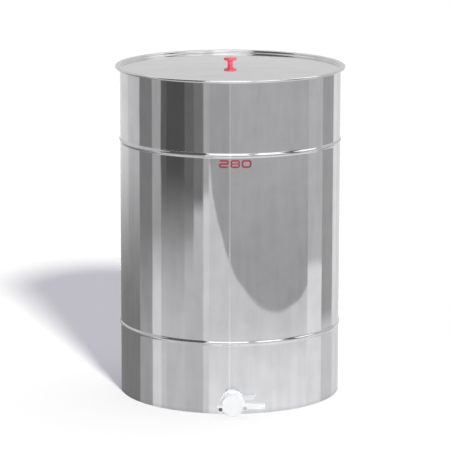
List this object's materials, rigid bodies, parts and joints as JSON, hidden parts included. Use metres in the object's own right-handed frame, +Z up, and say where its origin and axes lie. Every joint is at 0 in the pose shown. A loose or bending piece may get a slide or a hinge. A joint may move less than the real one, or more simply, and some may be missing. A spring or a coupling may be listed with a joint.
{
  "type": "honey settling tank",
  "caption": "Upright cylindrical sheet-steel honey settling tank with stiffening rings, a lift-off lid with a knob, and a swinging plastic honey gate at the base.",
  "frame": {"origin": "on the floor, on the tank's axis", "axes": "+Z up along the tank's axis, -Y towards the front, where the honey gate is, +X to the right of someone facing the front"},
  "size_m": [0.6557, 0.6964, 0.9648],
  "materials": {
    "polished_steel": "bright annealed stainless sheet",
    "steel_wire": "drawn stainless wire",
    "red_plastic": "glossy moulded plastic",
    "brass": "turned brass",
    "fastener_steel": "stainless fasteners",
    "white_nylon": "white moulded nylon",
    "food_rubber": "pale food-grade silicone rubber"
  },
  "bodies": {
    "tank": {"tank_shell": "polished_steel", "tank_skirt": "polished_steel", "outlet_panel": "polished_steel", "rim_wire": "steel_wire", "tank_bottom": "polished_steel", "valve_body": "white_nylon", "outer_gasket": "food_rubber", "inner_gasket": "food_rubber", "lock_nut": "white_nylon", "seal_ring": "food_rubber", "pivot_screw": "fastener_steel", "pivot_washer": "fastener_steel", "pivot_nut": "fastener_steel", "catch_screw": "fastener_steel", "catch_washer": "fastener_steel", "catch_nut": "fastener_steel"},
    "lid": {"lid_pan": "polished_steel", "lid_knob": "red_plastic", "knob_insert": "brass", "knob_screw": "fastener_steel", "knob_washer": "fastener_steel"},
    "gate": {"gate_plate": "white_nylon"}
  },
  "joints": [
    {"name": "lid_lift", "type": "slide", "parent": "tank", "child": "lid", "axis": [0, 0, 1], "range_m": [0, 0.5]},
    {"name": "gate_swing", "type": "hinge", "parent": "tank", "child": "gate", "pos_m": [-0.034, -0.3612, 0.0255], "axis": [0, -1, 0], "range_deg": [0, 100]}
  ]
}
